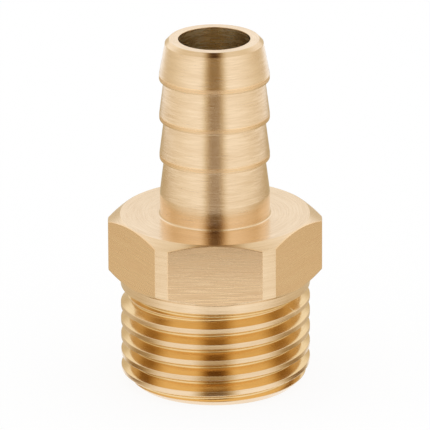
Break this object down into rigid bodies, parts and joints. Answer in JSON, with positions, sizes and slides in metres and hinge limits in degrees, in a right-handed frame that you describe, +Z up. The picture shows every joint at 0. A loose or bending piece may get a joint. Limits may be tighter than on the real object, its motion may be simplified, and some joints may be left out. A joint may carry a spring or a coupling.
{
  "type": "hose adapter",
  "caption": "Brass hose adapter with a male pipe thread below, a spanner hexagon in the middle, a barbed hose tail on top and one bore straight through",
  "frame": {"origin": "centre of the end face of the thread, at the bottom of the part", "axes": "+Z up along the bore towards the hose tail; a flat of the hexagon faces -Y"},
  "size_m": [0.0234, 0.021, 0.039],
  "materials": {
    "turned_brass": "bright turned brass with fine tool marks around the axis"
  },
  "bodies": {
    "root": {"hose_adapter": "turned_brass"}
  },
  "joints": []
}
